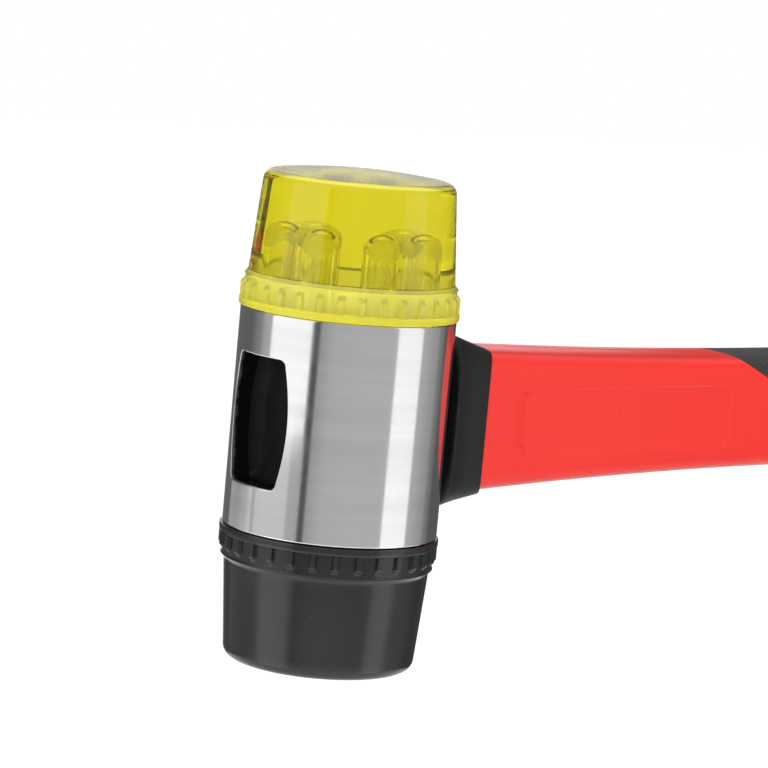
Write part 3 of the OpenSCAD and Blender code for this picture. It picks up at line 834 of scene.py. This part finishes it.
def makeJacket():
    p, g, k = handleSize, panelSize, jacketSize
    sideRows = panelSteps(-sideReach, sideReach, k["sideStep"], g["z"], g["height"])
    columns = handleColumns(sideRows, k["cornerSteps"])
    edges = [edgeX(c) for c in columns]
    skin, end, count = p["skin"], p["length"] - p["skin"], len(columns)
    last = g["x"] + g["length"] / 2 + g["past"]

    def relief(x, column):
        if column[0] == "edge":
            return -seamRise(column[2] * p["thick"][0])
        return g["depth"] * panelShare(x, column[2]) if column[0] == "side" else 0

    stations = [(x, skin, end) for x in k["start"]] + [(k["surface"], 0, end)]
    stations += [(x, 0, end) for x in panelSteps(k["panelStart"], last, k["step"], g["x"], g["length"])]
    stations += [([mix(last, e, t) for e in edges], 0, end) for t in spread(0, 1, k["steps"])[1:-1]]
    stations += [([e + past for e in edges], inset, end) for past, inset in k["lip"]]
    for t in spread(0, 1, k["underSteps"]):
        stations.append(([mix(e + k["under"], p["levelX"], t) for e in edges], skin, end))
    places = spread(p["levelX"], end - p["buttRound"], k["farSteps"])[1:] + buttPlaces(end, k["turns"])
    stations += [(x, skin, end) for x in places]
    points, faces = skinRings(columns, stations, relief), []
    starts = [i * count for i in range(len(stations))]
    bridge(faces, starts, count)
    fan(points, faces, starts[0], count)
    fan(points, faces, starts[-1], count)
    floor, around = p["thick"][0] - g["depth"], g["gateAround"]
    for side in (1, -1):
        starts = [len(points) + around * i for i in range(len(g["gateRows"]))]
        for share, h in g["gateRows"]:
            for c, s in circle(around):
                x, z = g["gateX"] + g["gateRadius"] * share * c, g["gateZ"] + g["gateRadius"] * share * s
                points.append((x, side * (floor + h), midZ + z))
        bridge(faces, starts, around)
        faces += [tuple(range(start, start + around)) for start in (starts[-1], starts[0])]
    return makePiece("handleJacket", points, faces, "hammer", ["redPlastic"],
                     ["handle_jacket"], p["sharp"])


# Shallow curved grooves across the grip's sides, for the fingers.
grooveSize = {"first": 150.0, "last": 250.0, "pitch": 5.0, "width": 1.5, "depth": 0.45, "reach": 8.5,
              "bow": 3.0, "fade": 1.5}


def grooveDepth(x, z):
    g = grooveSize
    lens = (x - (g["first"] + g["last"]) / 2) / ((g["last"] - g["first"]) / 2)
    if abs(lens) >= 1:
        return 0
    reach = g["reach"] * sqrt(1 - lens * lens)
    shifted = x - g["first"] + g["bow"] * (z / g["reach"]) ** 2
    off = abs((shifted / g["pitch"]) % 1 - 0.5) * g["pitch"]
    return g["depth"] * (1 - ease(off / (g["width"] / 2))) * (1 - ease((abs(z) - reach) / g["fade"] + 1))


# The grip's lip is pairs of how far past the swept edge and how deep.
gripSize = {"sideSteps": 20, "cornerSteps": 11, "lip": ((0.05, 1.9), (0.05, 0.18), (0.09, 0.05), (0.2, 0.0)),
            "steps": 26, "farSteps": 240, "backSteps": 24, "underSteps": 12, "backPast": 0.05,
            "turns": (8, 16, 24, 32, 40, 48, 56, 64, 72, 78, 84, 87, 89)}


def makeGrip():
    p, k = handleSize, gripSize
    columns = handleColumns(spread(-sideReach, sideReach, k["sideSteps"]), k["cornerSteps"])
    edges = [edgeX(c) for c in columns]
    skin, end, count = p["skin"], p["length"], len(columns)
    inner = end - skin

    def relief(x, column):
        if column[0] == "edge":
            return -seamRise(column[2] * along(x, p["thick"]))
        return grooveDepth(x, sectionPoint(x, column)[1])

    def swept(t, past, inset):
        return [mix(e, p["levelX"], t) + past for e in edges], inset, end

    def farPlaces(to, steps):
        return spread(p["levelX"], to - p["buttRound"], steps)[1:] + buttPlaces(to, k["turns"])

    stations = [swept(0, past, inset) for past, inset in k["lip"]]
    stations += [swept(t, k["lip"][-1][0] * (1 - t), 0) for t in spread(0, 1, k["steps"])[1:]]
    stations += [(x, 0, end) for x in farPlaces(end, k["farSteps"])]
    back = [(x, skin, inner) for x in reversed(farPlaces(inner, k["backSteps"]))]
    back += [swept(t, k["backPast"] * (1 - t), skin) for t in reversed(spread(0, 1, k["underSteps"])[1:])]
    points, faces = skinRings(columns, stations + back, relief), []
    starts = [i * count for i in range(len(stations + back))]
    tip = len(stations)
    bridge(faces, starts[:tip], count)
    bridge(faces, starts[tip:] + starts[:1], count)
    fan(points, faces, starts[tip - 1], count)
    fan(points, faces, starts[tip], count)
    return makePiece("gripSleeve", points, faces, "hammer", ["gripRubber"], ["grip_sleeve"],
                     p["sharp"])


def makeCutter(mesh):
    weld(mesh, weldReach["cutter"])
    return addObject("cutter", mesh)


# Takes a cutter's shape out of pieces, and then takes the cutter away.
def cutOut(pieces, cutter):
    for piece in pieces:
        cut = piece.modifiers.new("cut", "BOOLEAN")
        cut.operation, cut.solver, cut.object = "DIFFERENCE", "MANIFOLD", cutter
        bpy.context.view_layer.update()
        shaped = bpy.data.meshes.new_from_object(piece.evaluated_get(bpy.context.evaluated_depsgraph_get()))
        piece.modifiers.clear()
        piece.data = shaped
        shaped.set_sharp_from_angle(angle=radians(handleSize["sharp"]))
    bpy.data.objects.remove(cutter)


# The hang hole's cutter is a pin that flares where it meets the handle's sides.
hangSize = {"half": 11.1, "flare": 1.1, "past": 1.0, "around": 64, "steps": 6, "tip": 0.0001}


def hangCutter():
    p, h = handleSize, hangSize
    wide, half, flare, count = p["hangRadius"] + h["flare"], h["half"], h["flare"], h["around"]
    rows = [(h["tip"], -half - h["past"]), (wide, -half - h["past"]), (wide, -half)]
    for a in spread(0, pi / 2, h["steps"])[1:]:
        rows.append((wide - flare * sin(a), -half + flare * (1 - cos(a))))
    rows += [(radius, -y) for radius, y in reversed(rows)]
    points, faces = [], []
    for radius, y in rows:
        points.extend((p["hangX"] + radius * c, y, midZ + radius * s) for c, s in circle(count))
    bridge(faces, [k * count for k in range(len(rows))], count)
    return makeCutter(newMesh("hangCutter", points, faces))


# Collar: round the neck, flared and hollowed towards the tube, with a nose that is round in plan.
collarSize = {"noseX": 14.3, "noseRadius": 13.3, "start": 14.5, "flareEnd": 26.5, "topProud": 0.07,
              "topFlare": 4.0, "lowProud": 0.62, "lowFlare": 2.1, "sideProud": 0.45, "sideFlare": 0.3,
              "lipStart": 21.3, "lipFlare": 0.75, "lipDepth": 0.9, "edgeX": 17.4, "hollow": 1.6,
              "hollowZ": 1.0, "hollowReach": 14.0, "tubeRadius": 17.55, "round": 0.45, "sideSteps": 12,
              "cornerSteps": 12, "steps": 16, "rounds": 16, "startTurns": (0, 30, 60, 90), "bore": 0.15,
              "noseTurns": (0, 22, 45, 68, 90), "boreX": 23.0, "boreShare": 0.3, "boreEnds": (22.8, 22.6),
              "sharp": 40}


def makeCollar():
    p, k = handleSize, collarSize
    columns = handleColumns(spread(-sideReach, sideReach, k["sideSteps"]), k["cornerSteps"])
    wide, high, deep = p["thick"][0], p["top"][0], p["low"][0]
    skin, r, count = p["skin"], k["round"], len(columns)

    def surface(x, column, inset):
        s = partWay(x, k["flareEnd"], k["start"])
        lip = partWay(x, k["lipStart"], k["edgeX"])
        side = k["sideProud"] + k["sideFlare"] * s + k["lipFlare"] * lip * lip - inset
        top, low = k["topProud"] + k["topFlare"] * s - inset, k["lowProud"] + k["lowFlare"] * s - inset
        return sectionPoint(p["collarTip"], column, sizes=(wide + side, high + top, deep + low))

    def inner(x, column, inset):
        return sectionPoint(p["collarTip"], column, sizes=(wide - inset, high - inset, deep - inset))

    def noseAt(y):
        return k["noseX"] + sqrt(max(0.0, k["noseRadius"] ** 2 - y * y))

    def tubeAt(y, z):
        saddle = k["edgeX"] - k["hollow"] * (abs(z - k["hollowZ"]) / k["hollowReach"]) ** 4
        return max(saddle, sqrt(max(0.0, k["tubeRadius"] ** 2 - y * y)))

    # Where the collar starts at the tube and ends at its nose, found in rounds that settle.
    starts, noses = [k["edgeX"]] * count, [p["collarTip"]] * count
    for step in range(k["rounds"]):
        starts = [tubeAt(*surface(x, column, 0)) for x, column in zip(starts, columns)]
        noses = [noseAt(surface(x, column, 0)[0]) for x, column in zip(noses, columns)]
    points, rings = [], []

    def addRing(section, inset, places):
        rings.append(len(points))
        for x, column in zip(places, columns):
            y, z = section(x, column, inset)
            points.append((x, y, midZ + z))

    addRing(inner, skin, [tubeAt(*inner(0, column, skin)) for column in columns])
    addRing(surface, k["lipDepth"], starts)
    for a in k["startTurns"]:
        turn = radians(a)
        addRing(surface, r * (1 - sin(turn)), [x + r * (1 - cos(turn)) for x in starts])
    for v in spread(0, 1, k["steps"])[1:-1]:
        addRing(surface, 0, [mix(x0 + r, x1 - r, v) for x0, x1 in zip(starts, noses)])
    for a in k["noseTurns"]:
        turn = radians(a)
        addRing(surface, r * (1 - cos(turn)), [x - r * (1 - sin(turn)) for x in noses])
    addRing(inner, k["bore"], noses)
    addRing(inner, k["bore"], [mix(k["boreX"], x, k["boreShare"]) for x in noses])
    for x, inset in zip(k["boreEnds"], (k["bore"], skin)):
        addRing(inner, inset, [x] * count)
    faces = []
    bridge(faces, rings + rings[:1], count)
    makePiece("neckCollar", points, faces, "hammer", ["collarRubber"], ["neck_collar"],
              k["sharp"])


jacket = makeJacket()
grip = makeGrip()
makeCollar()
cutOut([jacket, grip], hangCutter())
# The jacket is moulded round the core, so a copy of the core's shape is taken out of it.
cutOut([jacket], makeCutter(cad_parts["handle_core"].data.copy()))
print("handle made")


# Resin in the eye: the CAD solid keeps its place, and a poured surface with a meniscus lies on it. Its waves
# have factors and offsets for y and z, and the ripple a share and factors. The powers are how suddenly it
# climbs, how late its waves calm down, and how suddenly it meets the wall.
resinSize = {"face": -11.05, "back": -10.6, "climb": 1.9, "gap": 0.05, "wander": 0.05, "waveY": (0.9, 1.3),
             "waveZ": (0.55, 0.4), "ripple": (0.5, 2.3, 1.1), "rimFrom": 0.96, "rimBack": 0.35,
             "powers": (9, 4, 14), "sharp": 60,
             "shares": (0.12, 0.25, 0.38, 0.5, 0.6, 0.7, 0.78, 0.85, 0.9, 0.94, 0.97, 0.99, 1.0)}


def makeResinFront(size):
    outline = eyeOutline(tubeSize)
    inner, count = tubeSize["radius"] - tubeSize["wall"], len(outline)
    eyeZ = midZ + tubeSize["eyeRise"]
    drawnIn = grown(outline, -size["gap"])
    (fy, oy), (fz, oz), (share, ry, rz) = size["waveY"], size["waveZ"], size["ripple"]
    climbs, calms, meets = size["powers"]

    def wave(y, z):
        ripple = share * sin(y * ry + z * rz)
        return size["wander"] * (sin(y * fy + oy) * sin(z * fz + oz) + ripple)

    points, faces = [], []
    for t in size["shares"]:
        for y, z in [(y * t, z * t) for y, z in drawnIn]:
            x = size["face"] - size["climb"] * t ** climbs + wave(y, z) * (1 - t ** calms)
            if t > size["rimFrom"]:
                x = min(x, -(sqrt(inner * inner - y * y) + size["rimBack"]) * t ** meets)
            points.append((x, y, eyeZ + z))
    points.extend((size["back"], y, eyeZ + z) for y, z in drawnIn)
    starts = [i * count for i in range(len(size["shares"]) + 1)]
    bridge(faces, starts, count)
    fan(points, faces, starts[0], count, (size["face"] + wave(0, 0), 0, eyeZ))
    fan(points, faces, starts[-1], count, (size["back"], 0, eyeZ))
    makePiece("resinFront", points, faces, "hammer", ["blackResin"], None, size["sharp"])


makeResinFront(resinSize)
for node, finish in (("eye_resin", "blackResin"), ("handle_core", "glassFibre")):
    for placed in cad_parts[node].material_slots:
        placed.material = finishes[finish]
print("resin made")


# Studio, in metres: a pale floor, a grey wall almost all the way round, and soft lamps.
studio = {"floorZ": -0.4, "floorReach": 6, "floorColour": 0.5, "floorSeen": 0.75, "ambient": 0.72,
          "wallRadius": 0.95, "wallLow": -0.4, "wallHigh": 0.75, "wallSteps": 295, "cameraAzimuth": -129.0}
white = (1, 1, 1)


# Clears a material's or a world's nodes, and gives the socket that its surface goes to.
def blankTree(owner, kind):
    owner.use_nodes = True
    tree = owner.node_tree
    tree.nodes.clear()
    return tree, addNode(tree, "Output" + kind).inputs["Surface"]


def seenRays(tree):
    path = addNode(tree, "LightPath").outputs
    direct = mathNode(tree, "ADD", path["Is Camera Ray"], path["Is Glossy Ray"])
    return mathNode(tree, "ADD", direct, path["Is Transmission Ray"], limited=True)


def makeFloor():
    reach, z, grey = studio["floorReach"], studio["floorZ"], studio["floorColour"]
    corners = [(-reach, -reach, z), (reach, -reach, z), (reach, reach, z), (-reach, reach, z)]
    mesh = newMesh("floor", corners, [(0, 1, 2, 3)], 1)
    mesh.materials.append(bpy.data.materials.new("floor"))
    tree, surface = blankTree(mesh.materials[0], "Material")
    matte = addNode(tree, "BsdfDiffuse", {"Color": (grey, grey, grey)})
    seen = mathNode(tree, "MULTIPLY", seenRays(tree), studio["floorSeen"])
    glow = addNode(tree, "Emission", {"Color": white, "Strength": seen})
    feed(tree, surface, addNode(tree, "AddShader", {0: matte.outputs[0], 1: glow.outputs[0]}).outputs[0])
    floor = addObject("floor", mesh)


def makeWorld():
    scene.world = bpy.data.worlds.new("studio")
    tree, surface = blankTree(scene.world, "World")
    strength = addShares(tree, studio["ambient"], (seenRays(tree), 1 - studio["ambient"]))
    feed(tree, surface, addNode(tree, "Background", {"Color": white, "Strength": strength}).outputs[0])


# The wall's greys by angle from the camera's side, seen from above, counting to the camera's right.
wallShades = [(-165, 0.14), (-150, 0.14), (-120, 0.13), (-104, 0.24), (-92, 0.46), (-35, 0.44), (-33, 0.09),
              (-28, 0.09), (-26, 0.40), (-8, 0.50), (20, 0.52), (50, 0.52), (92, 0.47), (112, 0.36),
              (120, 0.22), (132, 0.11), (172, 0.1)]


def wallShade(t):
    for (a, shadeA), (b, shadeB) in zip(wallShades, wallShades[1:]):
        if t <= b:
            return mix(shadeA, shadeB, ease((t - a) / (b - a)))


def makeWall():
    radius, steps = studio["wallRadius"], studio["wallSteps"]
    points, shades = [], []
    for t in spread(wallShades[0][0], wallShades[-1][0], steps):
        a = radians(studio["cameraAzimuth"] + t)
        for z in (studio["wallLow"], studio["wallHigh"]):
            points.append((radius * cos(a), radius * sin(a), z))
            shades.append(wallShade(t))
    mesh = newMesh("greyWall", points, [(2 * i, 2 * i + 2, 2 * i + 3, 2 * i + 1) for i in range(steps)], 1)
    layer = mesh.color_attributes.new("shade", "FLOAT_COLOR", "POINT")
    for i, v in enumerate(shades):
        layer.data[i].color = (v, v, v, 1)
    mesh.materials.append(bpy.data.materials.new("greyWall"))
    tree, surface = blankTree(mesh.materials[0], "Material")
    shade = addNode(tree, "Attribute", attribute_name="shade").outputs["Color"]
    feed(tree, surface, addNode(tree, "Emission", {"Color": shade}).outputs[0])
    wall = addObject("greyWall", mesh)
    wall.visible_camera = wall.visible_diffuse = wall.visible_transmission = wall.visible_shadow = False


# Each lamp: angle from the camera's side, distance, middle height, width, height (all m), how much brighter
# than the wall it looks, and whether shiny surfaces show it.
lamps = {
    "rightStrip": (72.0, 0.60, 0.15, 0.34, 0.56, 0.66, True),
    "lowRight": (71.0, 0.60, -0.27, 0.30, 0.28, 1.05, True),
    "leftPanel": (-58.5, 0.20, 0.108, 0.176, 0.20, 0.76, True),
    "leftFade": (-66.0, 0.21, -0.03, 0.15, 0.076, 0.20, True),
    "leftEdge": (-114.0, 0.60, -0.13, 0.46, 0.12, 0.27, True),
    "lowStrip": (-58.5, 0.60, -0.27, 0.44, 0.28, 1.05, True),
    "frontFill": (0.0, 1.20, 0.15, 1.6, 0.8, 1.7, False),
    "topBox": (0.0, 0.0, 0.9, 0.7, 0.7, 0.5, False),
}


def makeLamps():
    for name, (t, distance, height, wide, tall, bright, shown) in lamps.items():
        data = bpy.data.lights.new(name, "AREA")
        data.shape = "RECTANGLE"
        data.size, data.size_y = wide, tall
        data.energy = bright * pi * wide * tall
        lamp = addObject(name, data)
        a = radians(studio["cameraAzimuth"] + t)
        lamp.location = (distance * cos(a), distance * sin(a), height)
        aim = Vector((0, 0, height if distance else 0)) - lamp.location
        lamp.rotation_euler = aim.to_track_quat("-Z", "Y").to_euler()
        lamp.visible_camera = False
        lamp.visible_glossy = shown


makeFloor()
makeWorld()
makeWall()
makeLamps()
scene.view_settings.view_transform = "Standard"
print("studio lit")
